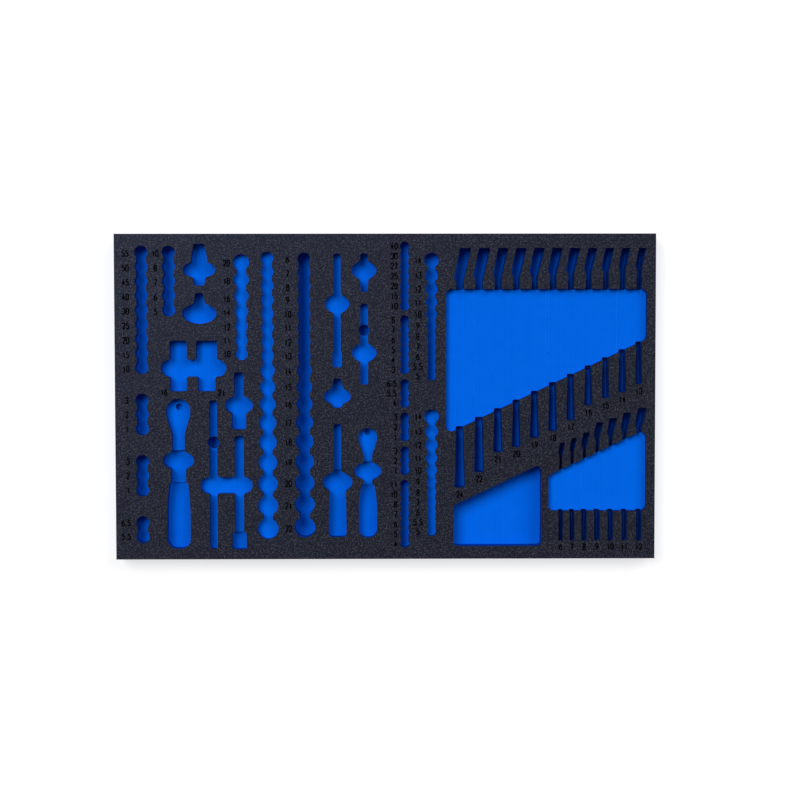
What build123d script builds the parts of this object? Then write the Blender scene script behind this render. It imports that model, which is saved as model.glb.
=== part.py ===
"""Foam insert for a tool drawer: a thin black top sheet bonded to a thick blue base slab.

The pockets are routed through the black sheet and down into the blue slab, each to its own depth.
All sizes are millimetres. Pockets are laid out from the back left corner of the insert: x grows to
the right and y falls towards the front. The finished insert stands on z = 0, centred on the origin.
"""

import os
from dataclasses import dataclass

from build123d import *

# Foam layers
top_thickness = 5.0
base_thickness = 30.0

# Plain foam left around the pockets
side_margin = 12.0
left_margin = 27.5
back_margin = 16.0
front_margin = 13.5

# Pocket depths, measured from the black face
tray_depth = 10.0
deep_tray_depth = 25.0
wrench_depth = 27.0
deep_socket_depth = 27.0
socket_depth = 11.0
torx_socket_depth = 9.0
bit_depth = 20.0
small_bit_depth = 18.0
small_deep_socket_depth = 17.0
small_socket_depth = 11.0
adapter_depth = 17.0
plug_socket_depth = 14.0
joint_depth = 15.0
bar_depth = 12.0
bar_end_depth = 15.0
drive_hole_depth = 24.0
driver_shank_depth = 13.0
driver_grip_depth = 17.0

# Rows of round nests: every nest is the socket that stands in it plus a clearance
nest_clearance = 0.5
channel_width = 13.0
bit_channel_width = 13.5
small_channel_width = 10.0
waist_radius = 2.0

bit_socket = 17.5
bit_web = 1.5
bit_set_gap = 26.5
first_bit_sets = (9, 3, 3, 2)
hex_bit_count = 5

torx_sockets = (21.5, 20.0, 19.0, 18.0, 16.5, 16.0, 16.0)
torx_web = 2.2
torx_start = 27.5

sockets = (17.0,) * 8 + (19.5, 20.5, 21.5, 23.0, 24.0, 25.0, 26.0, 27.0, 28.0)
socket_web = 1.4
socket_web_growth = 0.18
socket_start = 24.0
deep_socket_web = 1.2
deep_socket_start = 25.5
deep_channel_width = 14.5

small_bit = 11.9
small_bit_web = 1.1
small_bit_set_gap = 6.5
small_bit_start = 10.8
small_bit_sets = (7, 6, 3, 3, 3, 7)

small_sockets = (19.5, 17.5, 16.5, 15.5, 14.5, 13.0, 12.5, 12.0, 11.5, 11.5, 11.5)
small_socket_web = 1.25
small_socket_start = 26.0
small_socket_gap = 39.0

# Upright lines that the rows and tools stand on, each measured from the line to its left
hex_line_step = 37.0
ratchet_line_step = 12.0
adapter_line_step = 29.5
plug_line_step = 9.5
long_bar_line_step = 8.5
short_bar_line_step = 35.0
torx_line_step = 4.0
socket_line_step = 35.0
deep_socket_line_step = 50.0
driver_line_step = 44.8
small_bar_line_step = 36.7
small_ratchet_line_step = 4.7
small_bit_line_step = 50.3
small_socket_line_step = 36.7
tray_step = 19.3

# Plain foam between one tool and the next down a line
tool_gap = 10.0
long_bar_gap = 12.2
swivel_gap = 16.3
short_bar_gap = 8.7
onion_gap = 15.1
driver_gap = 21.7
small_bar_gap = 15.7
small_ratchet_gap = 58.9

# Corner rounding inside the pockets
blend_radius = 3.0
end_radius = 3.0
oval_tip_share = 0.36
onion_blend_radius = 5.0
driver_end_radius = 5.0

# Stepped adapter with finger room
adapter_neck_width = 14.0
adapter_neck_length = 19.0
adapter_shoulder_width = 22.0
adapter_length = 56.5
adapter_start = 13.5
adapter_notch = (43.5, 23.0)
adapter_notch_centre = 35.0
adapter_tip_width = 14.5

# Short adapter: a stem on a wide oval
stub_stem_width = 10.5
stub_stem_base = 18.0
stub_length = 42.0
stub_oval = (46.5, 28.0)

# Pair of long plug sockets lying side by side, with one finger channel across both
plug_gap = 22.5
plug_length = 69.0
plug_small_width = 23.0
plug_pair_step = 38.3
plug_large_width = 28.5
plug_large_length = 27.0
plug_large_tail = 23.5
plug_channel_width = 23.0
plug_channel_length = 89.0
plug_channel_centre = 37.5
plug_channel_shift = 1.6

# Extension bars, with one finger channel across both
long_bar_width = 10.5
long_bar_length = 203.0
drive_hole_diameter = 16.0
drive_hole_centre = 58.0
short_bar_width = 12.5
short_bar_length = 155.3
short_bar_end_width = 19.5
short_bar_end_length = 23.0
bar_channel_width = 22.5
bar_channel_length = 71.0
bar_channel_centre = 116.0

# Swivel joint
swivel_slot_width = 12.5
swivel_oval = (38.0, 26.0)
swivel_oval_centre = 45.0
swivel_body_width = 19.5
swivel_length = 78.0

# Sliding bar
slide_bar_width = 9.8
slide_bar_start = 26.9
slide_bar_length = 154.3
slide_bar_tip_width = 13.0
slide_bar_tip_length = 22.0
small_notch = (33.5, 26.0)
slide_bar_notch_centre = 68.1

# Small stepped adapter
small_adapter_neck_width = 10.3
small_adapter_length = 52.2
small_adapter_notch_centre = 22.5
small_adapter_tail_width = 15.0
small_adapter_tip_width = 8.5

# Small extension bar with a drive hole
small_bar_width = 10.3
small_bar_length = 110.0
small_hole_diameter = 15.0
small_hole_centre = 36.0
small_bar_notch_centre = 66.5

# Small onion-shaped adapter
onion_length = 40.3
onion_stem_width = 9.0
onion_shoulder_width = 22.0
onion_oval = (36.5, 23.0)
onion_oval_centre = 24.5
onion_tip_width = 11.0

# Driver handle with a square shank
driver_shank_width = 10.0
driver_shank_length = 63.0
driver_oval = (40.5, 30.0)
driver_oval_centre = 79.5
driver_grip_top_width = 21.0
driver_grip_width = 24.5
driver_swell = 148.7
driver_length = 154.7

# Trays: each has three square sides and one side that slopes with the wrench lengths
tray_slope = 0.476
tray_corner_radius = 8.0
deep_tray_corner_radius = 6.0
main_tray_width = 273.5
main_tray_start = 74.9
main_tray_left_side = 198.5
deep_tray_offset = 10.5
deep_tray_width = 120.0
deep_tray_left_side = 55.9
deep_tray_gap = 24.7
small_tray_left_side = 48.5
tray_land = 9.5

# Wrenches standing on edge: the ring end leans over, the jaw end is straight
ring_line = 19.5
ring_lean = 0.2
ring_length_base = 4.0
ring_length_per_size = 1.5
ring_shoulder = 6.0
slot_corner_radius = 1.5
slot_reach = 1.5
wrench_inset = 19.0
wrench_land = 12.6
small_wrench_inset = 17.0
small_wrench_land = 8.3
small_wrench_gap = 32.6
small_wrench_tail = 41.0


@dataclass(frozen=True)
class Wrench:
    """A wrench by its size and pocket length, with the slot widths at shank, ring and jaw."""

    size: float
    length: float
    shank: float
    ring: float
    jaw: float


wrenches = (
    Wrench(24, 325.8, 10.0, 15.5, 14.5),
    Wrench(22, 305.0, 10.5, 15.5, 13.0),
    Wrench(21, 277.6, 9.3, 13.7, 13.0),
    Wrench(20, 270.7, 8.7, 14.8, 12.0),
    Wrench(19, 258.0, 8.4, 14.8, 12.5),
    Wrench(18, 248.8, 8.8, 14.3, 12.0),
    Wrench(17, 234.0, 8.2, 13.8, 11.5),
    Wrench(16, 213.4, 7.8, 12.5, 11.5),
    Wrench(15, 204.4, 7.7, 12.0, 10.0),
    Wrench(14, 196.0, 7.8, 11.2, 10.4),
    Wrench(13, 185.0, 6.8, 10.2, 9.3),
)
small_wrenches = (
    Wrench(6, 134.0, 4.2, 7.0, 6.0),
    Wrench(7, 140.5, 4.4, 7.5, 6.6),
    Wrench(8, 148.0, 4.6, 9.0, 7.2),
    Wrench(9, 162.0, 5.2, 9.5, 7.4),
    Wrench(10, 167.6, 5.5, 10.5, 7.4),
    Wrench(11, 174.8, 6.0, 11.0, 7.2),
    Wrench(12, 181.4, 7.0, 12.0, 7.2),
)


@dataclass(frozen=True)
class Ratchet:
    """A ratchet's pocket, with distances from the end of its head, widths and depths."""

    length: float
    head_width: float
    head_length: float
    head_base_width: float
    button: float
    button_centre: float
    neck_width: float
    neck_start: float
    notch: tuple
    notch_start: float
    waist_width: float
    grip_start: float
    grip_top_width: float
    grip_width: float
    grip_swell: float
    grip_end_radius: float
    neck_depth: float
    notch_depth: float
    grip_depth: float
    button_depth: float


large_ratchet = Ratchet(
    length=204.9,
    head_width=33.0,
    head_length=24.0,
    head_base_width=32.0,
    button=9.0,
    button_centre=11.5,
    neck_width=17.5,
    neck_start=48.0,
    notch=(42.0, 26.5),
    notch_start=71.0,
    waist_width=20.5,
    grip_start=115.5,
    grip_top_width=25.5,
    grip_width=32.0,
    grip_swell=163.0,
    grip_end_radius=13.0,
    neck_depth=12.0,
    notch_depth=17.0,
    grip_depth=19.0,
    button_depth=20.0,
)
small_ratchet = Ratchet(
    length=150.0,
    head_width=25.5,
    head_length=18.0,
    head_base_width=24.5,
    button=7.5,
    button_centre=6.8,
    neck_width=11.5,
    neck_start=38.0,
    notch=(37.0, 25.0),
    notch_start=46.5,
    waist_width=12.0,
    grip_start=79.0,
    grip_top_width=17.5,
    grip_width=25.0,
    grip_swell=112.0,
    grip_end_radius=11.0,
    neck_depth=10.0,
    notch_depth=14.5,
    grip_depth=16.0,
    button_depth=17.0,
)

# Upright lines, from the left edge of the insert
bit_line = left_margin + (bit_socket + nest_clearance) / 2
hex_line = bit_line + hex_line_step
ratchet_line = hex_line + ratchet_line_step
adapter_line = ratchet_line + adapter_line_step
plug_line = adapter_line + plug_line_step
long_bar_line = plug_line + long_bar_line_step
short_bar_line = long_bar_line + short_bar_line_step
torx_line = short_bar_line + torx_line_step
socket_line = torx_line + socket_line_step
deep_socket_line = socket_line + deep_socket_line_step
driver_line = deep_socket_line + driver_line_step
small_bar_line = driver_line + small_bar_line_step
small_ratchet_line = small_bar_line + small_ratchet_line_step
small_bit_line = small_ratchet_line + small_bit_line_step
small_socket_line = small_bit_line + small_socket_line_step
tray_left = small_socket_line + tray_step
tray_right = tray_left + main_tray_width
insert_width = tray_right + side_margin


def nest_sizes(count, size):
    """The nest diameters of a set of sockets that are all one size."""
    return (size,) * count


def nest_centres(start, sizes, web, growth=0.0):
    """Distance of each nest's centre from the back edge, then the distance where the row ends."""
    diameters = [size + nest_clearance for size in sizes]
    centres = [start + diameters[0] / 2]
    for near, far in zip(diameters, diameters[1:]):
        pitch = (near + far) / 2
        centres.append(centres[-1] + pitch + web + growth * (pitch - diameters[0]))
    return centres, centres[-1] + diameters[-1] / 2


def nest_row(line, start, sizes, web, channel, growth=0.0):
    """A row of round nests down a line, joined by a channel narrower than the smallest nest."""
    centres, _ = nest_centres(start, sizes, web, growth)
    nests = [disc(size + nest_clearance, centre) for size, centre in zip(sizes, centres)]
    spine = strip(centres[0], centres[-1], channel, channel)
    return pocket(line, 0, spine, *nests, radius=waist_radius)


def oval(size, centre):
    """A four-arc oval on the middle line, its centre at a distance from the tool's back end."""
    width, height = size
    tip = oval_tip_share * height
    reach = width / 2 - tip
    flank = (reach**2 + height**2 / 4 - tip**2) / (height - 2 * tip)
    drop = flank - height / 2
    joint_x = reach * flank / (flank - tip)
    joint_y = drop * flank / (flank - tip) - drop
    with BuildSketch() as shape:
        with BuildLine():
            ThreePointArc((-joint_x, joint_y), (0, height / 2), (joint_x, joint_y))
            ThreePointArc((joint_x, joint_y), (width / 2, 0), (joint_x, -joint_y))
            ThreePointArc((joint_x, -joint_y), (0, -height / 2), (-joint_x, -joint_y))
            ThreePointArc((-joint_x, -joint_y), (-width / 2, 0), (-joint_x, joint_y))
        make_face()
    return Pos(0, -centre) * shape.sketch


def strip(top, bottom, top_width, bottom_width, radius=0.0):
    """A strip down the middle line from one distance to another, its corners rounded."""
    with BuildSketch() as shape:
        with BuildLine():
            Polyline(
                (-top_width / 2, -top),
                (top_width / 2, -top),
                (bottom_width / 2, -bottom),
                (-bottom_width / 2, -bottom),
                close=True,
            )
        make_face()
        if radius > 0:
            fillet(shape.vertices(), radius)
    return shape.sketch


def grip(top, swell, end, top_width, width, radius):
    """A handle that swells from its top to its full width and ends in rounded corners."""
    with BuildSketch() as shape:
        with BuildLine():
            Line((-top_width / 2, -top), (top_width / 2, -top))
            TangentArc((width / 2, -swell), (top_width / 2, -top), tangent=(0, 1))
            Line((width / 2, -swell), (width / 2, -end))
            Line((width / 2, -end), (-width / 2, -end))
            Line((-width / 2, -end), (-width / 2, -swell))
            TangentArc((-width / 2, -swell), (-top_width / 2, -top), tangent=(0, 1))
        make_face()
        fillet(shape.vertices().group_by(Axis.Y)[0], radius)
    return shape.sketch


def disc(diameter, centre):
    """A round hole on the middle line."""
    return Pos(0, -centre) * Circle(diameter / 2)


def stadium(length, width, centre, middle=0.0):
    """A finger channel that runs across the tools, with round ends."""
    return Pos(middle, -centre) * SlotOverall(length, width)


def pocket(line, start, *shapes, radius=blend_radius):
    """Shapes drawn from their tool's own back end, placed on its line as one outline.

    The outline is grown and shrunk again, which rounds its inward corners.
    """
    with BuildSketch() as outline:
        add([Pos(line, -start) * shape for shape in shapes])
        offset(amount=radius, kind=Kind.ARC)
        offset(amount=-radius, kind=Kind.ARC)
    return outline.sketch


def stretch(outline, top, bottom):
    """The stretch of an outline that lies between two distances from the back edge."""
    with BuildSketch() as part:
        add(outline)
        with Locations((insert_width / 2, -(top + bottom) / 2)):
            Rectangle(insert_width, bottom - top, mode=Mode.INTERSECT)
    return part.sketch


def sloped_tray(left, top_left, top_right, right, bottom_left, bottom_right, radius):
    """A tray with upright sides at left and right, given the distance of each of its corners."""
    with BuildSketch() as tray:
        with BuildLine():
            Polyline(
                (left, -top_left),
                (right, -top_right),
                (right, -bottom_right),
                (left, -bottom_left),
                close=True,
            )
        make_face()
        fillet(tray.vertices(), radius)
    return tray.sketch


def ring_slot(line, size, shank, ring, ring_end, foot):
    """The slot for a wrench's ring end, which leans to the right above its shank."""
    head = ring_length_base + ring_length_per_size * size
    shoulder = ring_end + head
    neck = shoulder + ring_shoulder
    left = line - ring / 2
    lean = ring_lean * head
    with BuildSketch() as slot:
        with BuildLine():
            Polyline(
                (line - shank / 2, -foot),
                (line - shank / 2, -neck),
                (left, -shoulder),
                (left + lean, -ring_end),
                (left + lean + ring, -ring_end),
                (line + shank / 2, -neck),
                (line + shank / 2, -foot),
                close=True,
            )
        make_face()
        fillet(slot.vertices(), slot_corner_radius)
    return slot.sketch


def jaw_slot(line, shank, jaw, top, jaw_end):
    """The slot for a wrench's open end, straight and a little wider at the jaw."""
    return Pos(line, 0) * strip(top, jaw_end, shank, jaw, slot_corner_radius)


def spaced_lines(first, widths, land):
    """Upright lines for slots of given widths with the same plain foam between them."""
    lines = [first]
    for near, far in zip(widths, widths[1:]):
        lines.append(lines[-1] + (near + far) / 2 + land)
    return lines


def ratchet_pockets(line, start, ratchet):
    """Depths and outlines of a ratchet: head and neck, finger notch, grip and button hole."""
    neck_end = ratchet.notch_start + ratchet.notch[1] / 2
    outline = pocket(
        line,
        start,
        disc(ratchet.head_width, ratchet.head_width / 2),
        strip(
            ratchet.head_width / 2,
            ratchet.head_length,
            ratchet.head_width,
            ratchet.head_base_width,
        ),
        strip(
            ratchet.head_length, ratchet.neck_start, ratchet.head_base_width, ratchet.neck_width
        ),
        strip(ratchet.neck_start, neck_end, ratchet.neck_width, ratchet.neck_width),
        oval(ratchet.notch, neck_end),
        strip(neck_end, ratchet.grip_start, ratchet.waist_width, ratchet.waist_width),
        grip(
            ratchet.grip_start,
            ratchet.grip_swell,
            ratchet.length,
            ratchet.grip_top_width,
            ratchet.grip_width,
            ratchet.grip_end_radius,
        ),
    )
    notch_top = start + ratchet.notch_start
    grip_top = start + ratchet.grip_start
    end = start + ratchet.length
    button = Pos(line, -start) * disc(ratchet.button, ratchet.button_centre)
    return [
        (ratchet.neck_depth, outline),
        (ratchet.notch_depth, stretch(outline, notch_top, end)),
        (ratchet.grip_depth, stretch(outline, grip_top, end)),
        (ratchet.button_depth, button),
    ]


# Pockets, as pairs of a depth and an outline
pockets = []

# Bit sockets of the large drive: four sets down one line, one beside them
start = back_margin
for count in first_bit_sets:
    sizes = nest_sizes(count, bit_socket)
    pockets.append((bit_depth, nest_row(bit_line, start, sizes, bit_web, bit_channel_width)))
    bits_end = nest_centres(start, sizes, bit_web)[1]
    start = bits_end + bit_set_gap
hex_sizes = nest_sizes(hex_bit_count, bit_socket)
pockets.append(
    (bit_depth, nest_row(hex_line, back_margin, hex_sizes, bit_web, bit_channel_width))
)

# Outer-star sockets and the two long rows of sockets
torx_end = nest_centres(torx_start, torx_sockets, torx_web)[1]
torx_row = nest_row(torx_line, torx_start, torx_sockets, torx_web, channel_width)
pockets.append((torx_socket_depth, torx_row))
sockets_end = nest_centres(socket_start, sockets, socket_web, socket_web_growth)[1]
socket_row = nest_row(
    socket_line, socket_start, sockets, socket_web, channel_width, socket_web_growth
)
pockets.append((socket_depth, socket_row))
deep_sockets_end = nest_centres(
    deep_socket_start, sockets, deep_socket_web, socket_web_growth
)[1]
deep_socket_row = nest_row(
    deep_socket_line,
    deep_socket_start,
    sockets,
    deep_socket_web,
    deep_channel_width,
    socket_web_growth,
)
pockets.append((deep_socket_depth, deep_socket_row))

# Bits and sockets of the small drive
start = small_bit_start
for count in small_bit_sets:
    sizes = nest_sizes(count, small_bit)
    row = nest_row(small_bit_line, start, sizes, small_bit_web, small_channel_width)
    pockets.append((small_bit_depth, row))
    small_bits_end = nest_centres(start, sizes, small_bit_web)[1]
    start = small_bits_end + small_bit_set_gap
start = small_socket_start
for depth in (small_deep_socket_depth, small_socket_depth):
    row = nest_row(
        small_socket_line, start, small_sockets, small_socket_web, small_channel_width
    )
    pockets.append((depth, row))
    small_sockets_end = nest_centres(start, small_sockets, small_socket_web)[1]
    start = small_sockets_end + small_socket_gap

# Stepped adapter and short adapter
adapter = pocket(
    adapter_line,
    adapter_start,
    strip(0, adapter_neck_length, adapter_neck_width, adapter_shoulder_width),
    oval(adapter_notch, adapter_notch_centre),
    strip(
        adapter_neck_length, adapter_length, adapter_shoulder_width, adapter_tip_width, end_radius
    ),
)
pockets.append((adapter_depth, adapter))
stub_start = adapter_start + adapter_length + tool_gap
stub = pocket(
    adapter_line,
    stub_start,
    strip(0, stub_length / 2, stub_stem_width, stub_stem_base),
    oval(stub_oval, stub_length - stub_oval[1] / 2),
)
pockets.append((adapter_depth, stub))

# Pair of long plug sockets
plug_start = stub_start + stub_length + plug_gap
plug_pair = pocket(
    plug_line,
    plug_start,
    Pos(-plug_pair_step, 0) * strip(0, plug_length, plug_small_width, plug_small_width, end_radius),
    strip(0, plug_large_length, plug_large_width, plug_large_width, end_radius),
    strip(plug_large_length / 2, plug_length, plug_large_tail, plug_large_tail, end_radius),
    stadium(
        plug_channel_length,
        plug_channel_width,
        plug_channel_centre,
        plug_channel_shift - plug_pair_step / 2,
    ),
)
pockets.append((plug_socket_depth, plug_pair))
plug_end = plug_start + plug_length

# Extension bars: the long one has a hole for its drive end, the short one a deeper far end
long_bar_start = plug_end + long_bar_gap
long_bar_end = long_bar_start + long_bar_length
swivel_start = torx_end + swivel_gap
short_bar_start = swivel_start + swivel_length + short_bar_gap
short_bar_end = short_bar_start + short_bar_length
short_bar_end_top = short_bar_length - short_bar_end_length
short_bar_far_end = strip(
    short_bar_end_top, short_bar_length, short_bar_end_width, short_bar_end_width, end_radius
)
bars_middle = (short_bar_line - long_bar_line) / 2
short_bar_place = Pos(short_bar_line - long_bar_line, long_bar_start - short_bar_start)
extension_bars = pocket(
    long_bar_line,
    long_bar_start,
    strip(0, long_bar_length, long_bar_width, long_bar_width, end_radius),
    disc(drive_hole_diameter, drive_hole_centre),
    stadium(bar_channel_length, bar_channel_width, bar_channel_centre, bars_middle),
    short_bar_place * strip(0, short_bar_length, short_bar_width, short_bar_width, end_radius),
    short_bar_place * short_bar_far_end,
)
drive_hole = Pos(long_bar_line, -long_bar_start) * disc(drive_hole_diameter, drive_hole_centre)
pockets.append((bar_depth, extension_bars))
pockets.append((drive_hole_depth, drive_hole))
pockets.append((bar_end_depth, Pos(short_bar_line, -short_bar_start) * short_bar_far_end))

# Swivel joint
swivel = pocket(
    short_bar_line,
    swivel_start,
    strip(0, swivel_oval_centre, swivel_slot_width, swivel_slot_width, end_radius),
    oval(swivel_oval, swivel_oval_centre),
    strip(swivel_oval_centre, swivel_length, swivel_body_width, swivel_body_width, end_radius),
)
pockets.append((joint_depth, swivel))

# Sliding bar, onion-shaped adapter and driver handle, down one line
slide_bar = pocket(
    driver_line,
    slide_bar_start,
    strip(0, slide_bar_length, slide_bar_width, slide_bar_width, end_radius),
    oval(small_notch, slide_bar_notch_centre),
    strip(
        slide_bar_length - slide_bar_tip_length,
        slide_bar_length,
        slide_bar_tip_width,
        slide_bar_tip_width,
        end_radius,
    ),
)
pockets.append((bar_depth, slide_bar))
onion_start = slide_bar_start + slide_bar_length + onion_gap
onion = pocket(
    driver_line,
    onion_start,
    strip(0, onion_oval_centre, onion_stem_width, onion_shoulder_width, end_radius),
    oval(onion_oval, onion_oval_centre),
    strip(onion_oval_centre, onion_length, onion_shoulder_width, onion_tip_width, end_radius),
    radius=onion_blend_radius,
)
pockets.append((adapter_depth, onion))
driver_start = onion_start + onion_length + driver_gap
driver_end = driver_start + driver_length
driver = pocket(
    driver_line,
    driver_start,
    strip(0, driver_oval_centre, driver_shank_width, driver_shank_width, end_radius),
    oval(driver_oval, driver_oval_centre),
    grip(
        driver_oval_centre,
        driver_swell,
        driver_length,
        driver_grip_top_width,
        driver_grip_width,
        driver_end_radius,
    ),
)
pockets.append((driver_shank_depth, driver))
pockets.append((driver_grip_depth, stretch(driver, driver_start + driver_shank_length, driver_end)))

# Small stepped adapter and small extension bar, down the next line
small_adapter = pocket(
    small_bar_line,
    slide_bar_start,
    strip(
        0,
        small_adapter_notch_centre,
        small_adapter_neck_width,
        small_adapter_neck_width,
        end_radius,
    ),
    oval(small_notch, small_adapter_notch_centre),
    strip(
        small_adapter_notch_centre,
        small_adapter_length,
        small_adapter_tail_width,
        small_adapter_tip_width,
        end_radius,
    ),
)
pockets.append((adapter_depth, small_adapter))
small_bar_start = slide_bar_start + small_adapter_length + small_bar_gap
small_bar = pocket(
    small_bar_line,
    small_bar_start,
    strip(0, small_bar_length, small_bar_width, small_bar_width, end_radius),
    disc(small_hole_diameter, small_hole_centre),
    oval(small_notch, small_bar_notch_centre),
)
small_hole = Pos(small_bar_line, -small_bar_start) * disc(small_hole_diameter, small_hole_centre)
pockets.append((bar_depth, small_bar))
pockets.append((drive_hole_depth, small_hole))

# Both ratchets
ratchet_start = plug_end + tool_gap
ratchet_end = ratchet_start + large_ratchet.length
pockets += ratchet_pockets(ratchet_line, ratchet_start, large_ratchet)
small_ratchet_start = small_bar_start + small_bar_length + small_ratchet_gap
small_ratchet_end = small_ratchet_start + small_ratchet.length
pockets += ratchet_pockets(small_ratchet_line, small_ratchet_start, small_ratchet)

# Main wrench tray, with ring slots behind it and jaw slots in front of it
main_left_bottom = main_tray_start + main_tray_left_side
main_right_bottom = main_left_bottom - tray_slope * main_tray_width
main_tray = sloped_tray(
    tray_left,
    main_tray_start,
    main_tray_start,
    tray_right,
    main_left_bottom,
    main_right_bottom,
    tray_corner_radius,
)
pockets.append((tray_depth, main_tray))
wrench_lines = spaced_lines(
    tray_left + wrench_inset, [wrench.jaw for wrench in wrenches], wrench_land
)
for line, wrench in zip(wrench_lines, wrenches):
    foot = main_tray_start + slot_reach
    ring = ring_slot(line, wrench.size, wrench.shank, wrench.ring, ring_line, foot)
    top = main_left_bottom - tray_slope * (line + wrench.shank / 2 - tray_left)
    jaw = jaw_slot(line, wrench.shank, wrench.jaw, top, ring_line + wrench.length)
    pockets.append((wrench_depth, ring))
    pockets.append((wrench_depth, jaw))

# Deep tray in the front, under the longest wrenches
deep_left = tray_left + deep_tray_offset
deep_right = deep_left + deep_tray_width
deep_tray_start = ring_line + wrenches[0].length + deep_tray_gap
deep_tray_end = deep_tray_start + deep_tray_left_side
deep_tray = sloped_tray(
    deep_left,
    deep_tray_start,
    deep_tray_start - tray_slope * deep_tray_width,
    deep_right,
    deep_tray_end,
    deep_tray_end,
    deep_tray_corner_radius,
)
pockets.append((deep_tray_depth, deep_tray))

# Small wrench tray, with its jaw slots all ending on one line
small_jaw_line = (
    ring_line + wrenches[-1].length + small_wrench_gap + small_wrenches[-1].length
)
small_left = deep_right + tray_land
small_tray_end = small_jaw_line - small_wrench_tail
small_left_top = small_tray_end - small_tray_left_side
small_right_top = small_left_top - tray_slope * (tray_right - small_left)
small_tray = sloped_tray(
    small_left,
    small_left_top,
    small_right_top,
    tray_right,
    small_tray_end,
    small_tray_end,
    tray_corner_radius,
)
pockets.append((tray_depth, small_tray))
small_wrench_lines = spaced_lines(
    small_left + small_wrench_inset,
    [wrench.ring for wrench in small_wrenches],
    small_wrench_land,
)
for line, wrench in zip(small_wrench_lines, small_wrenches):
    ring_end = small_jaw_line - wrench.length
    foot = small_left_top - tray_slope * (line - wrench.shank / 2 - small_left)
    top = small_tray_end - slot_reach
    ring = ring_slot(line, wrench.size, wrench.shank, wrench.ring, ring_end, foot)
    jaw = jaw_slot(line, wrench.jaw, wrench.jaw, top, small_jaw_line)
    pockets.append((wrench_depth, ring))
    pockets.append((wrench_depth, jaw))

# The insert reaches past whichever line of pockets is the longest
insert_length = front_margin + max(
    bits_end,
    sockets_end,
    deep_sockets_end,
    small_bits_end,
    small_sockets_end,
    ratchet_end,
    small_ratchet_end,
    long_bar_end,
    short_bar_end,
    driver_end,
    deep_tray_end,
    small_jaw_line,
)


def back_left_corner(height):
    """The plane that the pockets are drawn on, at a height above the underside."""
    return Plane(origin=(-insert_width / 2, insert_length / 2, height))


with BuildPart() as base_slab:
    with BuildSketch():
        Rectangle(insert_width, insert_length)
    extrude(amount=base_thickness)
    cuts = []
    for depth in sorted({depth for depth, _ in pockets}):
        with BuildSketch(back_left_corner(base_thickness)):
            add([outline for pocket_depth, outline in pockets if pocket_depth == depth])
        cuts.append(extrude(amount=top_thickness - depth, mode=Mode.PRIVATE))
    add(cuts, mode=Mode.SUBTRACT)
base_slab.part.label = "base_slab"

with BuildPart() as top_sheet:
    with BuildSketch(Plane.XY.offset(base_thickness)):
        Rectangle(insert_width, insert_length)
    extrude(amount=top_thickness)
    with BuildSketch(back_left_corner(base_thickness)):
        add([outline for _, outline in pockets])
    extrude(amount=top_thickness, mode=Mode.SUBTRACT)
top_sheet.part.label = "top_sheet"

os.makedirs("parts", exist_ok=True)
export_step(base_slab.part, "parts/base_slab.step")
export_step(top_sheet.part, "parts/top_sheet.step")
print("insert", round(insert_width, 1), "x", round(insert_length, 1), "mm")
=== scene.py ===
"""Black-faced foam insert for a tool drawer: foam finishes, engraved numbers, cutter ridges, studio."""

import logging
import math
from dataclasses import dataclass, field
from enum import Enum

import bmesh
import bpy
from mathutils import Euler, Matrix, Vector


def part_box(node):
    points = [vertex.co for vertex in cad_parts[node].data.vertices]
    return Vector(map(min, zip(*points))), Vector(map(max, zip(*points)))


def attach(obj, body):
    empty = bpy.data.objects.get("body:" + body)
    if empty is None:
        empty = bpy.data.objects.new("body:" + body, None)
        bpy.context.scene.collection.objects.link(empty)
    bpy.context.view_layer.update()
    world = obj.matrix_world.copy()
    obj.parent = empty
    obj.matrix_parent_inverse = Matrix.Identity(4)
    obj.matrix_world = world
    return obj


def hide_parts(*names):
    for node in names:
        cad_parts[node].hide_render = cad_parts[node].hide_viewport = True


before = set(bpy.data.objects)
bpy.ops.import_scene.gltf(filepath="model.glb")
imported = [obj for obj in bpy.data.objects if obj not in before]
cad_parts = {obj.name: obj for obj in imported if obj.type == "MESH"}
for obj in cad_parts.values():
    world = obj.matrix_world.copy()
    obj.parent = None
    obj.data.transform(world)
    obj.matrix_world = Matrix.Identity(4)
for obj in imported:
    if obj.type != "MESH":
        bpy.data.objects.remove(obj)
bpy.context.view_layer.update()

MM = 0.001
BODY = "root"
WHITE = (1.0, 1.0, 1.0)
MERGE_WITHIN = 2e-6

Value = float | tuple | bpy.types.NodeSocket

log = logging.getLogger("foam_insert")


class Slot(Enum):
    """The record's material slots."""

    BLACK = "black_foam"
    BLUE = "blue_foam"


class Align(Enum):
    """Which point of a number its place refers to, as a share of its width."""

    CENTRE = 0.5
    RIGHT = 1.0


class Cells(Enum):
    """How the cells of a foam meet: as open pores with sharp rims, or as rounded pebbles."""

    PORES = "F1"
    PEBBLES = "SMOOTH_F1"


class Step(Enum):
    """The steps of arithmetic that the finishes and the studio use."""

    PLUS = "ADD"
    TIMES = "MULTIPLY"
    SIZE = "ABSOLUTE"
    BELOW = "LESS_THAN"


class Layer(Enum):
    """How one colour lies on another."""

    OVER = "MIX"
    TIMES = "MULTIPLY"


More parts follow.
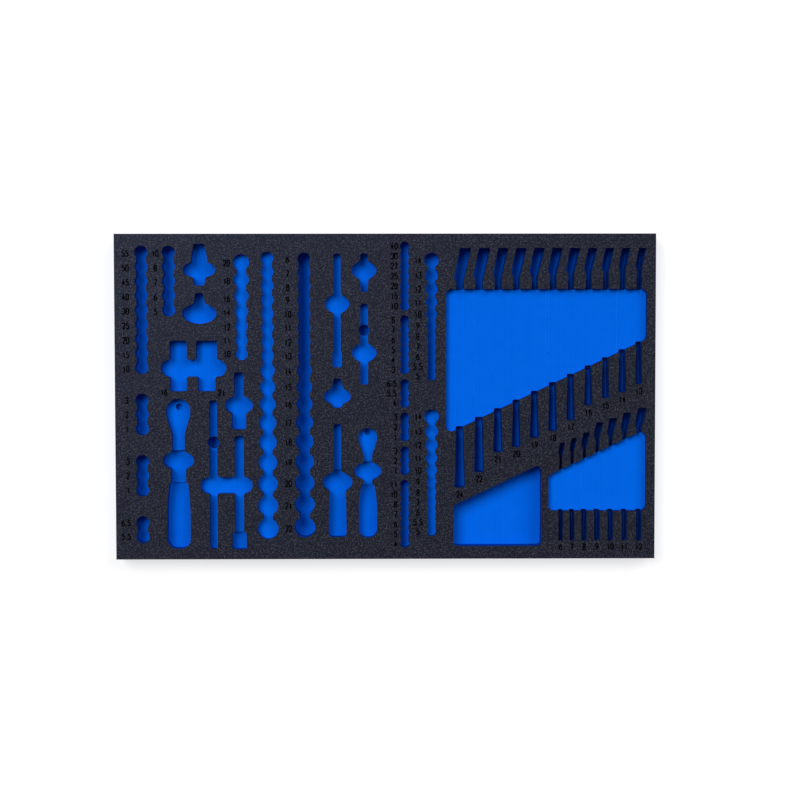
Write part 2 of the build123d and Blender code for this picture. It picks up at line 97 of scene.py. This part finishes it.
class Graph:
    """A node tree that is being drawn up."""

    def __init__(self, tree: bpy.types.NodeTree) -> None:
        """Starts with an empty tree.

        Args:
            tree: the node tree to fill.
        """
        self.tree = tree
        tree.nodes.clear()

    def node(self, kind: str, inputs: dict | None = None, **settings: object) -> bpy.types.Node:
        """Adds a node.

        Args:
            kind: the node's type name.
            inputs: socket name or number to a value, or to an output socket that is linked to it.
            **settings: the node's own properties.

        Returns:
            The new node.
        """
        made = self.tree.nodes.new(kind)
        for name, value in settings.items():
            setattr(made, name, value)
        for key, value in (inputs or {}).items():
            if isinstance(value, bpy.types.NodeSocket):
                self.tree.links.new(value, made.inputs[key])
            else:
                made.inputs[key].default_value = value
        return made

    def maths(
        self, step: Step, first: Value, second: Value = 0.0, clamp: bool = False
    ) -> bpy.types.NodeSocket:
        """Adds a Math node.

        Args:
            step: what the node does.
            first: the first number or socket.
            second: the second number or socket.
            clamp: True to keep the result from 0 to 1.

        Returns:
            The result's socket.
        """
        inputs = {0: first, 1: second}
        made = self.node("ShaderNodeMath", inputs, operation=step.value, use_clamp=clamp)
        return made.outputs[0]

    def mix(self, factor: Value, first: Value, second: Value) -> bpy.types.NodeSocket:
        """Adds a Mix of two numbers, by the share of the second."""
        inputs = {0: factor, 2: first, 3: second}
        return self.node("ShaderNodeMix", inputs, data_type="FLOAT").outputs[0]

    def blend(
        self, factor: Value, first: Value, second: Value, layer: Layer = Layer.OVER
    ) -> bpy.types.NodeSocket:
        """Adds a Mix of two colours.

        Args:
            factor: the share of the second colour.
            first: the first colour or socket.
            second: the second colour or socket.
            layer: how the second lies on the first.

        Returns:
            The mixed colour's socket.
        """
        inputs = {0: factor}
        for key, value in ((6, first), (7, second)):
            inputs[key] = (*value, 1.0) if isinstance(value, tuple) else value
        made = self.node("ShaderNodeMix", inputs, data_type="RGBA", blend_type=layer.value)
        return made.outputs[2]

    def multiply(self, first: Value, second: Value) -> bpy.types.NodeSocket:
        """One colour times another."""
        return self.blend(1.0, first, second, Layer.TIMES)

    def ramp(self, value: bpy.types.NodeSocket, places: tuple, colours: tuple) -> bpy.types.NodeSocket:
        """Adds a Color Ramp.

        Args:
            value: the socket that drives it.
            places: where its stops are, from 0 to 1.
            colours: the colour at each stop.

        Returns:
            The colour's socket.
        """
        made = self.node("ShaderNodeValToRGB", {0: value})
        band = made.color_ramp
        while len(band.elements) < len(places):
            band.elements.new(0.5)
        for element, place, colour in zip(band.elements, places, colours):
            element.position = place
            element.color = (*colour, 1.0)
        return made.outputs[0]

    def tones(self, value: bpy.types.NodeSocket, places: tuple, tones: tuple) -> bpy.types.NodeSocket:
        """A Color Ramp of greys, one at each place."""
        return self.ramp(value, places, tuple((tone, tone, tone) for tone in tones))

    def bump(self, strength: float, depth: float, height: Value) -> bpy.types.NodeSocket:
        """A normal that follows a height, by a strength and a depth in metres."""
        inputs = {"Strength": strength, "Distance": depth, "Height": height}
        return self.node("ShaderNodeBump", inputs).outputs[0]

    def seen(self) -> bpy.types.NodeSocket:
        """Picks out the rays that show what is round the insert, straight, in gloss or in glass.

        Returns:
            The socket of the mask, 1 for such a ray.
        """
        rays = self.node("ShaderNodeLightPath").outputs
        shown = self.maths(Step.PLUS, rays["Is Camera Ray"], rays["Is Glossy Ray"])
        return self.maths(Step.PLUS, shown, rays["Is Transmission Ray"], clamp=True)

    def skin(
        self, colour: Value, normal: Value, roughness: float, gloss: float, tint: tuple = WHITE
    ) -> None:
        """Ends the tree in the foam's shader.

        Args:
            colour: the base colour's socket.
            normal: the bump's socket.
            roughness: the gloss's roughness.
            gloss: the specular level.
            tint: the colour of the gloss.
        """
        inputs = {"Base Color": colour, "Normal": normal, "Roughness": roughness}
        inputs |= {"Specular IOR Level": gloss, "Specular Tint": (*tint, 1.0)}
        shader = self.node("ShaderNodeBsdfPrincipled", inputs)
        self.node("ShaderNodeOutputMaterial", {0: shader.outputs[0]})


class Pattern:
    """The textures that the foam finishes share, all on Object coordinates."""

    upright_below: float = 0.5
    noise_roughness: float = 0.6

    def __init__(self, graph: Graph) -> None:
        """Adds the coordinates and the mask of upright faces.

        Args:
            graph: the material's graph.
        """
        self.graph = graph
        self.place = graph.node("ShaderNodeTexCoord").outputs["Object"]
        normal = graph.node("ShaderNodeNewGeometry").outputs["True Normal"]
        rise = graph.node("ShaderNodeSeparateXYZ", {0: normal}).outputs[2]
        self.upright = graph.maths(Step.BELOW, graph.maths(Step.SIZE, rise), self.upright_below)

    def within(self, reach: tuple) -> bpy.types.NodeSocket:
        """Adds a mask of what lies near the middle.

        Args:
            reach: how far it reaches from the middle, across and along, in metres.

        Returns:
            The mask's socket.
        """
        split = self.graph.node("ShaderNodeSeparateXYZ", {0: self.place}).outputs
        offsets = [self.graph.maths(Step.SIZE, split[axis]) for axis in (0, 1)]
        near = [self.graph.maths(Step.BELOW, off, far) for off, far in zip(offsets, reach)]
        return self.graph.maths(Step.TIMES, *near)

    def stretched(self, scale: tuple) -> bpy.types.NodeSocket:
        """The coordinates, scaled along each axis."""
        inputs = {"Vector": self.place, "Scale": scale}
        return self.graph.node("ShaderNodeMapping", inputs).outputs[0]

    def noise(self, scale: float | tuple, detail: float) -> bpy.types.NodeSocket:
        """Adds noise.

        Args:
            scale: its scale per metre, one for all axes or one for each.
            detail: how many finer layers it has.

        Returns:
            The noise's socket.
        """
        even = isinstance(scale, float)
        inputs = {
            "Vector": self.place if even else self.stretched(scale),
            "Scale": scale if even else 1.0,
            "Detail": detail,
            "Roughness": self.noise_roughness,
        }
        return self.graph.node("ShaderNodeTexNoise", inputs).outputs[0]

    def cells(self, scale: float, form: Cells = Cells.PORES) -> bpy.types.NodeSocket:
        """The distance in the cells of a scale per metre."""
        inputs = {"Vector": self.place, "Scale": scale}
        return self.graph.node("ShaderNodeTexVoronoi", inputs, feature=form.value).outputs[0]


def new_material(name: str) -> tuple[bpy.types.Material, Graph]:
    """Adds a material.

    Args:
        name: the material's name.

    Returns:
        The material and its empty graph.
    """
    made = bpy.data.materials.new(name)
    made.use_nodes = True
    return made, Graph(made.node_tree)


@dataclass(frozen=True)
class PebbledFoam:
    """The black sheet: a pebbled, matt closed-cell skin with finer pores on its cut edges."""

    shade: tuple = (0.0038, 0.0042, 0.0075)
    pit: tuple = (0.0006, 0.0007, 0.0014)
    fleck: tuple = (0.0420, 0.0430, 0.0530)
    cut: tuple = (0.0030, 0.0034, 0.0060)
    dull: tuple = (0.86, 0.86, 0.88)
    bright: tuple = (1.14, 1.13, 1.10)
    tint: tuple = (0.52, 0.60, 1.0)
    mottle: float = 520.0
    mottle_steps: tuple = (0.42, 0.48, 0.52, 0.64)
    clouds: float = 38.0
    cloud_steps: tuple = (0.30, 0.70)
    pebbles: float = 430.0
    pebble_rise: float = -0.8
    crumbs: float = 1100.0
    pores: float = 1900.0
    detail: float = 3.0
    bump: float = 0.5
    bump_depth: float = 0.0004
    roughness: float = 0.36
    gloss: float = 0.19

    def material(self) -> bpy.types.Material:
        """Builds the finish.

        Returns:
            The material.
        """
        made, graph = new_material("pebbled_black_foam")
        pattern = Pattern(graph)
        mottle = pattern.noise(self.mottle, self.detail)
        clouds = pattern.noise(self.clouds, self.detail)
        face = graph.ramp(mottle, self.mottle_steps, (self.pit, self.shade, self.shade, self.fleck))
        face = graph.multiply(face, graph.ramp(clouds, self.cloud_steps, (self.dull, self.bright)))
        colour = graph.blend(pattern.upright, face, self.cut)
        pebbles = pattern.cells(self.pebbles, Cells.PEBBLES)
        domes = graph.maths(Step.TIMES, pebbles, self.pebble_rise)
        height = graph.maths(Step.PLUS, domes, pattern.noise(self.crumbs, self.detail))
        lift = graph.mix(pattern.upright, height, pattern.cells(self.pores))
        normal = graph.bump(self.bump, self.bump_depth, lift)
        graph.skin(colour, normal, self.roughness, self.gloss, self.tint)
        return made


@dataclass(frozen=True)
class RoutedFoam:
    """The blue slab: open pores, and painted shade that darkens the upright faces inside the pockets.
    """

    name: str = "routed_blue_foam"
    shade: tuple = (0.0003, 0.126, 0.755)
    deep: tuple = (0.0003, 0.122, 0.735)
    light: tuple = (0.0004, 0.131, 0.775)
    # Painted shade: these factors darken the upright faces inside the pockets, standing in for shade in
    # the narrow slots.
    wall: tuple = (0.40, 0.34, 0.42)
    pocket_reach: tuple = (0.366, 0.220)
    clouds: float = 45.0
    cloud_detail: float = 4.0
    cloud_steps: tuple = (0.32, 0.50, 0.68)
    passes: tuple = (380.0, 4.0, 380.0)
    pass_detail: float = 1.0
    layers: tuple = (25.0, 25.0, 1700.0)
    layer_detail: float = 2.0
    stroke_steps: tuple = (0.35, 0.65)
    stroke_tones: tuple = (0.98, 1.02)
    stroke_rise: float = 1.4
    pores: float = 1250.0
    pore_steps: tuple = (0.05, 0.35)
    pore_tones: tuple = (0.92, 1.02)
    bump: float = 0.35
    bump_depth: float = 0.00018
    roughness: float = 0.85
    gloss: float = 0.012

    def material(self) -> bpy.types.Material:
        """Builds the finish.

        Returns:
            The material.
        """
        made, graph = new_material(self.name)
        pattern = Pattern(graph)
        pores = pattern.cells(self.pores)
        clouds = pattern.noise(self.clouds, self.cloud_detail)
        passes = pattern.noise(self.passes, self.pass_detail)
        layers = pattern.noise(self.layers, self.layer_detail)
        strokes = graph.mix(pattern.upright, passes, layers)
        colour = graph.ramp(clouds, self.cloud_steps, (self.deep, self.shade, self.light))
        colour = graph.multiply(colour, graph.tones(strokes, self.stroke_steps, self.stroke_tones))
        colour = graph.multiply(colour, graph.tones(pores, self.pore_steps, self.pore_tones))
        # Painted shade: the upright faces inside the pockets, but not the outer sides, are darkened by
        # the wall factor.
        painted_shade_mask = graph.maths(Step.TIMES, pattern.upright, pattern.within(self.pocket_reach))
        colour = graph.multiply(colour, graph.blend(painted_shade_mask, WHITE, self.wall))
        height = graph.maths(Step.PLUS, pores, graph.maths(Step.TIMES, strokes, self.stroke_rise))
        normal = graph.bump(self.bump, self.bump_depth, height)
        graph.skin(colour, normal, self.roughness, self.gloss)
        return made


@dataclass(frozen=True)
class RidgeFoam(RoutedFoam):
    """The ridges between the router's passes: the same foam, paler where its cells stand up."""

    name: str = "torn_blue_foam"
    shade: tuple = (0.004, 0.165, 0.86)
    deep: tuple = (0.003, 0.150, 0.82)
    light: tuple = (0.006, 0.180, 0.90)


@dataclass(frozen=True)
class BurntFoam:
    """The bottom of the engraved numbers: foam melted to a dull, crumbly black."""

    shade: tuple = (0.0008, 0.0008, 0.0010)
    ash: tuple = (0.0030, 0.0029, 0.0032)
    crumbs: float = 2400.0
    crumb_detail: float = 3.0
    crumb_steps: tuple = (0.45, 0.75)
    bump: float = 0.6
    bump_depth: float = 0.0002
    roughness: float = 0.95
    gloss: float = 0.01

    def material(self) -> bpy.types.Material:
        """Builds the finish.

        Returns:
            The material.
        """
        made, graph = new_material("burnt_black_foam")
        crumbs = Pattern(graph).noise(self.crumbs, self.crumb_detail)
        colour = graph.ramp(crumbs, self.crumb_steps, (self.shade, self.ash))
        normal = graph.bump(self.bump, self.bump_depth, crumbs)
        graph.skin(colour, normal, self.roughness, self.gloss)
        return made


def new_piece(name: str, mesh: bpy.types.Mesh) -> bpy.types.Object:
    """Adds an object to the scene.

    Args:
        name: the object's name.
        mesh: its mesh.

    Returns:
        The object.
    """
    made = bpy.data.objects.new(name, mesh)
    bpy.context.scene.collection.objects.link(made)
    return made


def settle(piece: bpy.types.Object) -> bpy.types.Object:
    """Turns a piece's live modifiers into a plain mesh.

    Args:
        piece: the object to settle.

    Returns:
        The same object.
    """
    bpy.context.view_layer.update()
    depsgraph = bpy.context.evaluated_depsgraph_get()
    mesh = bpy.data.meshes.new_from_object(piece.evaluated_get(depsgraph))
    piece.modifiers.clear()
    piece.data = mesh
    return piece


def merged_copy(node: str, name: str) -> bpy.types.Mesh:
    """Copies a CAD node's mesh and merges its loose triangles.

    Args:
        node: the CAD node's name.
        name: the new mesh's name.

    Returns:
        The merged mesh.
    """
    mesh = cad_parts[node].data.copy()
    mesh.name = name
    work = bmesh.new()
    work.from_mesh(mesh)
    bmesh.ops.remove_doubles(work, verts=work.verts, dist=MERGE_WITHIN)
    work.to_mesh(mesh)
    work.free()
    mesh.materials.clear()
    return mesh


@dataclass(frozen=True)
class CutEdge:
    """The softened edge of cut foam. Sizes in millimetres and degrees."""

    width: float
    segments: int = 2
    angle: float = 50.0

    def soften(self, piece: bpy.types.Object) -> None:
        """Rounds off a piece's sharp edges.

        Args:
            piece: the piece.
        """
        bevel = piece.modifiers.new("edge", "BEVEL")
        bevel.width = self.width * MM
        bevel.segments = self.segments
        bevel.limit_method = "ANGLE"
        bevel.angle_limit = math.radians(self.angle)
        settle(piece)


@dataclass(frozen=True)
class RodSweep:
    """Round rods along paths, with rounded corners. Sizes in millimetres."""

    radius: float
    corner: float = 0.0
    sides: int = 8
    corner_steps: int = 3

    def sizes(self) -> dict:
        """The tree's named inputs, in metres."""
        return {"Rod Radius": self.radius * MM, "Corner Radius": self.corner * MM}

    def tree(self, name: str, finish: bpy.types.Material) -> bpy.types.GeometryNodeTree:
        """Draws up the tree that sweeps the rods along a mesh's edges.

        Args:
            name: the tree's name.
            finish: the rods' finish.

        Returns:
            The tree.
        """
        made = bpy.data.node_groups.new(name, "GeometryNodeTree")
        sockets = made.interface
        sockets.new_socket("Geometry", in_out="INPUT", socket_type="NodeSocketGeometry")
        for label in self.sizes():
            sockets.new_socket(label, in_out="INPUT", socket_type="NodeSocketFloat")
        sockets.new_socket("Geometry", in_out="OUTPUT", socket_type="NodeSocketGeometry")
        graph = Graph(made)
        start = graph.node("NodeGroupInput").outputs
        path = graph.node("GeometryNodeMeshToCurve", {0: start["Geometry"]})
        corners = {"Curve": path.outputs[0], "Radius": start["Corner Radius"]}
        corners |= {"Count": self.corner_steps, "Limit Radius": True}
        rounded = graph.node("GeometryNodeFilletCurve", corners, mode="POLY")
        profile = graph.node(
            "GeometryNodeCurvePrimitiveCircle",
            {"Resolution": self.sides, "Radius": start["Rod Radius"]},
        )
        swept = graph.node(
            "GeometryNodeCurveToMesh",
            {"Curve": rounded.outputs[0], "Profile Curve": profile.outputs[0], "Fill Caps": True},
        )
        real = graph.node("GeometryNodeRealizeInstances", {0: swept.outputs[0]})
        dressed = graph.node(
            "GeometryNodeSetMaterial", {"Geometry": real.outputs[0], "Material": finish}
        )
        graph.node("NodeGroupOutput", {0: dressed.outputs[0]})
        return made

    def build(
        self, name: str, tree_name: str, paths: list, finish: bpy.types.Material
    ) -> bpy.types.Object:
        """Sweeps the rods into a plain mesh.

        Args:
            name: the object's name.
            tree_name: the name of its node tree.
            paths: lists of points in millimetres.
            finish: the rods' finish.

        Returns:
            The finished object.
        """
        points: list = []
        edges: list = []
        for path in paths:
            first = len(points)
            points += [Vector(point) * MM for point in path]
            edges += [(i, i + 1) for i in range(first, len(points) - 1)]
        mesh = bpy.data.meshes.new(name)
        mesh.from_pydata(points, edges, [])
        piece = new_piece(name, mesh)
        modifier = piece.modifiers.new("sweep", "NODES")
        modifier.node_group = self.tree(tree_name, finish)
        sizes = self.sizes()
        for item in modifier.node_group.interface.items_tree:
            if item.in_out == "INPUT" and item.name in sizes:
                modifier[item.identifier] = sizes[item.name]
        return settle(piece)


# The strokes of each mark, in a box that is 1 across and 1 up.
STROKES = {
    "0": [[(0.5, 1), (0, 1), (0, 0), (1, 0), (1, 1), (0.52, 1)]],
    "1": [[(0.15, 0.74), (0.6, 1), (0.6, 0)]],
    "2": [[(0, 0.74), (0, 1), (1, 1), (1, 0.6), (0, 0)], [(0, 0), (1.02, 0)]],
    "3": [[(0, 0.8), (0, 1), (1, 1), (1, 0.57), (0.4, 0.51), (1, 0.45), (1, 0), (0, 0), (0, 0.2)]],
    "4": [[(0.74, 0), (0.74, 0.62)], [(0.62, 1), (0, 0.26)], [(0, 0.26), (1.05, 0.26)]],
    "5": [[(0.95, 1), (0.06, 1), (0.02, 0.56), (1, 0.62), (1, 0), (0, 0), (0, 0.18)]],
    "6": [[(0.8, 1), (0, 0.6), (0, 0), (1, 0), (1, 0.56), (0.14, 0.54)]],
    "7": [[(0, 1), (1, 1)], [(1, 1), (0.36, 0)]],
    "8": [
        [(0.5, 1), (0.04, 1), (0.04, 0.58), (1, 0.46), (1, 0), (0, 0), (0, 0.46), (0.96, 0.58)]
        + [(0.96, 1), (0.52, 1)]
    ],
    "9": [[(0.2, 0), (1, 0.4), (1, 1), (0, 1), (0, 0.44), (0.86, 0.46)]],
    ".": [[(0, 0.02), (1, 0.02)]],
}


@dataclass(frozen=True)
class NumberColumn:
    """Numbers down one line: their texts, the line, their heights up the face and their align."""

    texts: str
    line: float
    heights: tuple
    align: Align = Align.CENTRE

    def entries(self) -> list:
        """Each number as its text and the point that it is set on."""
        return [(text, self.line, up) for text, up in zip(self.texts.split(), self.heights)]


def evenly(first: float, step: float, count: int) -> tuple:
    """Heights that fall from the first by equal steps."""
    return tuple(first - step * i for i in range(count))


@dataclass
class SizeNumbers:
    """The plain size numbers that are engraved beside the pockets. Sizes in millimetres."""

    height: float = 7.9
    width: float = 3.1
    gap: float = 1.9
    dot_width: float = 1.2
    rise: float = 0.1
    rod: RodSweep = RodSweep(radius=0.92, corner=1.3)
    columns: list[NumberColumn] = field(init=False)
    singles: list[tuple] = field(init=False)

    def __post_init__(self) -> None:
        """Lays the numbers out."""
        right = Align.RIGHT
        sockets = (186.4, 167.4, 148.5, 131.2, 112.4, 94.2, 74.5, 55.9, 34.8)
        sockets += (13.6, -10.0, -35.1, -61.7, -89.4, -118.3, -148.4, -179.7)
        stars = (181.7, 157.4, 133.8, 115.1, 95.2, 77.2, 58.6)
        small = "14 13 12 11 10 9 8 7 6 5.5 5"
        upper = (185.5, 165.2, 146.5, 128.8, 112.0, 96.5, 82.0, 68.0, 54.5, 41.2, 28.0)
        lower = (-27.0, -47.2, -66.0, -83.8, -100.5, -116.0, -130.5, -144.5, -158.0, -171.2, -184.5)
        self.columns = [
            NumberColumn("55 50 45 40 30 25 20 15 10", -348.2, evenly(194.9, 19.6, 9), right),
            NumberColumn("10 8 7 6 5", -311.6, evenly(194.9, 19.7, 5)),
            NumberColumn("3 2 1", -350.0, evenly(-4.2, 19.5, 3), right),
            NumberColumn("3 2 1", -349.0, evenly(-87.5, 19.5, 3), right),
            NumberColumn("6.5 5.5", -348.0, evenly(-171.5, 18.5, 2), right),
            NumberColumn("20 18 16 14 12 11 10", -211.2, stars, right),
            NumberColumn("6 7 8 9 10 11 12 13 14 15 16 17 18 19 20 21 22", -132.5, sockets),
            NumberColumn("40 30 27 25 20 15 10", 16.0, evenly(204.5, 13.5, 7), right),
            NumberColumn("8 7 6 5 4 3", 10.5, evenly(104.6, 13.5, 6)),
            NumberColumn("6.5 5.5 4", 14.0, evenly(18.2, 13.5, 3), right),
            NumberColumn("3 2 1", 15.0, evenly(-27.7, 13.5, 3), right),
            NumberColumn("3 2 1", 15.0, evenly(-73.6, 13.5, 3), right),
            NumberColumn("11 10 8 7 6 5 4", 15.0, evenly(-119.5, 13.5, 7), right),
            NumberColumn(small, 44.0, upper),
            NumberColumn(small, 44.0, lower),
        ]
        large_wrenches = (24, 22, 21, 20, 19, 18, 17, 16, 15, 14, 13)
        large_across = (101.0, 127.4, 153.0, 178.1, 202.9, 227.8, 252.1, 276.2, 299.6, 322.4, 344.8)
        large_up = (-133.5, -112.0, -85.0, -78.0, -65.5, -56.0, -41.5, -21.0, -12.0, -3.5, 7.5)
        small_wrenches = (6, 7, 8, 9, 10, 11, 12)
        small_across = (239.0, 254.5, 271.1, 288.6, 306.9, 326.0, 345.8)
        small_up = -205.5
        self.singles = [("16", -301.0, 7.0), ("21", -223.0, 6.0)]
        for wrench, x, y in zip(large_wrenches, large_across, large_up):
            self.singles.append((str(wrench), x, y))
        for wrench, x in zip(small_wrenches, small_across):
            self.singles.append((str(wrench), x, small_up))

    def advance(self, mark: str) -> float:
        """How wide a digit or a point is."""
        return self.dot_width if mark == "." else self.width

    def strokes(self, text: str, x: float, y: float, level: float, align: Align) -> list:
        """Lays out one number.

        Args:
            text: the number.
            x: where its aligned point is, across.
            y: where its middle is, up the face.
            level: the height of the paths above the underside.
            align: which point of the number x refers to.

        Returns:
            The number's paths, as lists of points in millimetres.
        """
        widths = [self.advance(mark) for mark in text]
        whole = sum(widths) + self.gap * (len(text) - 1)
        left = x - whole * align.value
        paths = []
        for mark, wide in zip(text, widths):
            for stroke in STROKES[mark]:
                paths.append(
                    [(left + u * wide, y + (v - 0.5) * self.height, level) for u, v in stroke]
                )
            left += wide + self.gap
        return paths

    def cutters(self, face: float, burnt: bpy.types.Material) -> bpy.types.Object:
        """Builds the rods that carve the numbers.

        Args:
            face: the height of the black face in millimetres.
            burnt: the finish of the carved surface.

        Returns:
            One object with a rod along every stroke.
        """
        level = face + self.rise
        paths = []
        for column in self.columns:
            for text, x, y in column.entries():
                paths += self.strokes(text, x, y, level, column.align)
        for text, x, y in self.singles:
            paths += self.strokes(text, x, y, level, Align.CENTRE)
        return self.rod.build("number_cutters", "engraved_strokes", paths, burnt)


@dataclass
class BlackSheet:
    """The black sheet, with softened cut edges and engraved numbers."""

    numbers: SizeNumbers
    edge: CutEdge = CutEdge(width=0.35)

    def build(self, foam: bpy.types.Material, burnt: bpy.types.Material) -> bpy.types.Object:
        """Builds the sheet.

        Args:
            foam: the pebbled finish.
            burnt: the finish inside the numbers.

        Returns:
            The sheet.
        """
        mesh = merged_copy("top_sheet", "black_sheet")
        mesh.materials.append(foam)
        mesh.materials.append(burnt)
        piece = new_piece("black_sheet", mesh)
        self.edge.soften(piece)
        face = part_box("top_sheet")[1].z / MM
        rods = self.numbers.cutters(face, burnt)
        carve = piece.modifiers.new("numbers", "BOOLEAN")
        carve.operation = "DIFFERENCE"
        carve.solver = "EXACT"
        carve.use_self = True
        carve.object = rods
        settle(piece)
        bpy.data.objects.remove(rods)
        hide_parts("top_sheet")
        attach(piece, BODY)
        return piece


@dataclass
class BlueSlab:
    """The blue slab, with its cut edges softened."""

    edge: CutEdge = CutEdge(width=0.3)

    def build(self, foam: bpy.types.Material) -> bpy.types.Object:
        """Builds the slab.

        Args:
            foam: the routed finish.

        Returns:
            The slab.
        """
        mesh = merged_copy("base_slab", "blue_slab")
        mesh.materials.append(foam)
        piece = new_piece("blue_slab", mesh)
        self.edge.soften(piece)
        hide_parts("base_slab")
        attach(piece, BODY)
        return piece


@dataclass
class CutterRidges:
    """The fine ridges that the router leaves on the tray floors between two of its passes.

    Sizes and places are in millimetres. A ridge runs from a straight wall to a slanted one, and
    ends just short of both.
    """

    floor: float = 25.0
    sunk: float = 0.27
    rod: RodSweep = RodSweep(radius=0.5)
    straight_gap: float = 1.0
    slanted_gap: float = 1.2
    slope: float = 0.476
    main_left: float = 82.0
    main_top: float = 146.6
    main_left_bottom: float = -51.9
    main_lines: tuple = (120.5, 218.9, 222.4, 315.5)
    small_left: float = 222.0
    small_bottom: float = -156.0
    small_left_top: float = -107.5
    small_lines: tuple = (267.3,)

    def build(self, foam: bpy.types.Material) -> bpy.types.Object:
        """Builds the ridges.

        Args:
            foam: the ridges' finish.

        Returns:
            The ridges of both trays as one piece.
        """
        level = self.floor - self.sunk
        paths = []
        for x in self.main_lines:
            bottom = self.main_left_bottom + self.slope * (x - self.main_left) + self.slanted_gap
            paths.append([(x, bottom, level), (x, self.main_top - self.straight_gap, level)])
        for x in self.small_lines:
            top = self.small_left_top + self.slope * (x - self.small_left) - self.slanted_gap
            paths.append([(x, self.small_bottom + self.straight_gap, level), (x, top, level)])
        piece = self.rod.build("cutter_ridges", "cutter_ridges", paths, foam)
        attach(piece, BODY)
        return piece


@dataclass(frozen=True)
class SoftLamp:
    """A wide, even lamp: the way to it from the insert, its spread and its level on the face."""

    name: str
    toward: tuple
    spread: float
    level: float

    def build(self) -> bpy.types.Object:
        """Adds the lamp.

        Returns:
            The lamp.
        """
        way = Vector(self.toward)
        data = bpy.data.lights.new(self.name, "SUN")
        data.angle = math.radians(self.spread)
        data.energy = math.pi * self.level * way.length / way.z
        made = bpy.data.objects.new(self.name, data)
        made.location = way
        made.rotation_euler = way.to_track_quat("Z", "Y").to_euler()
        bpy.context.scene.collection.objects.link(made)
        return made


@dataclass
class Studio:
    """Floor, light and camera. The camera's place is in millimetres, its turn in degrees."""

    camera_place: tuple = (-3.9, 100.92, 2341.41)
    camera_turn: tuple = (-2.6086, -0.5876, -0.0661)
    lens: float = 76.365
    sensor_width: float = 36.0
    lamps: tuple = (
        SoftLamp("key", (-0.46, 0.40, 1.0), 32.0, 0.58),
        SoftLamp("fill", (0.74, 0.74, 1.0), 40.0, 0.30),
    )
    ambient: float = 0.09
    floor_shade: float = 0.40
    floor_glow: float = 0.68
    floor_half: float = 6.0
    floor_level: float = -0.0002

    def floor(self) -> bpy.types.Object:
        """Builds the pale floor.

        Returns:
            The floor.
        """
        made, graph = new_material("pale_floor")
        grey = (self.floor_shade, self.floor_shade, self.floor_shade, 1.0)
        diffuse = graph.node("ShaderNodeBsdfDiffuse", {0: grey})
        shown = graph.maths(Step.TIMES, graph.seen(), self.floor_glow)
        glow = graph.node("ShaderNodeEmission", {0: (*WHITE, 1.0), 1: shown})
        both = graph.node("ShaderNodeAddShader", {0: diffuse.outputs[0], 1: glow.outputs[0]})
        graph.node("ShaderNodeOutputMaterial", {0: both.outputs[0]})
        half, level = self.floor_half, self.floor_level
        corners = [(-half, -half), (half, -half), (half, half), (-half, half)]
        mesh = bpy.data.meshes.new("floor")
        mesh.from_pydata([(x, y, level) for x, y in corners], [], [(0, 1, 2, 3)])
        mesh.materials.append(made)
        piece = new_piece("floor", mesh)
        return piece

    def light(self) -> None:
        """Sets the soft lamps and the world that fills the shadows."""
        for lamp in self.lamps:
            lamp.build()
        world = bpy.data.worlds.new("studio")
        bpy.context.scene.world = world
        world.use_nodes = True
        graph = Graph(world.node_tree)
        strength = graph.mix(graph.seen(), self.ambient, 1.0)
        glow = graph.node("ShaderNodeBackground", {0: (*WHITE, 1.0), 1: strength})
        graph.node("ShaderNodeOutputWorld", {0: glow.outputs[0]})

    def camera(self) -> bpy.types.Object:
        """Sets the camera above the insert.

        Returns:
            The camera.
        """
        data = bpy.data.cameras.new("camera")
        data.sensor_width = self.sensor_width
        data.lens = self.lens
        made = bpy.data.objects.new("camera", data)
        made.location = Vector(self.camera_place) * MM
        made.rotation_euler = Euler([math.radians(turn) for turn in self.camera_turn])
        bpy.context.scene.collection.objects.link(made)
        bpy.context.scene.camera = made
        return made


def main() -> None:
    """Builds the studio and the pieces in order, and reports each piece."""
    logging.basicConfig(level=logging.INFO, format="%(name)s: %(message)s")
    bpy.context.scene.view_settings.view_transform = "Standard"
    studio = Studio()
    studio.camera()
    studio.floor()
    studio.light()
    pieces = [
        BlueSlab().build(RoutedFoam().material()),
        CutterRidges().build(RidgeFoam().material()),
        BlackSheet(SizeNumbers()).build(PebbledFoam().material(), BurntFoam().material()),
    ]
    for piece in pieces:
        log.info("%s: %d faces", piece.name, len(piece.data.polygons))


if __name__ == "__main__":
    main()
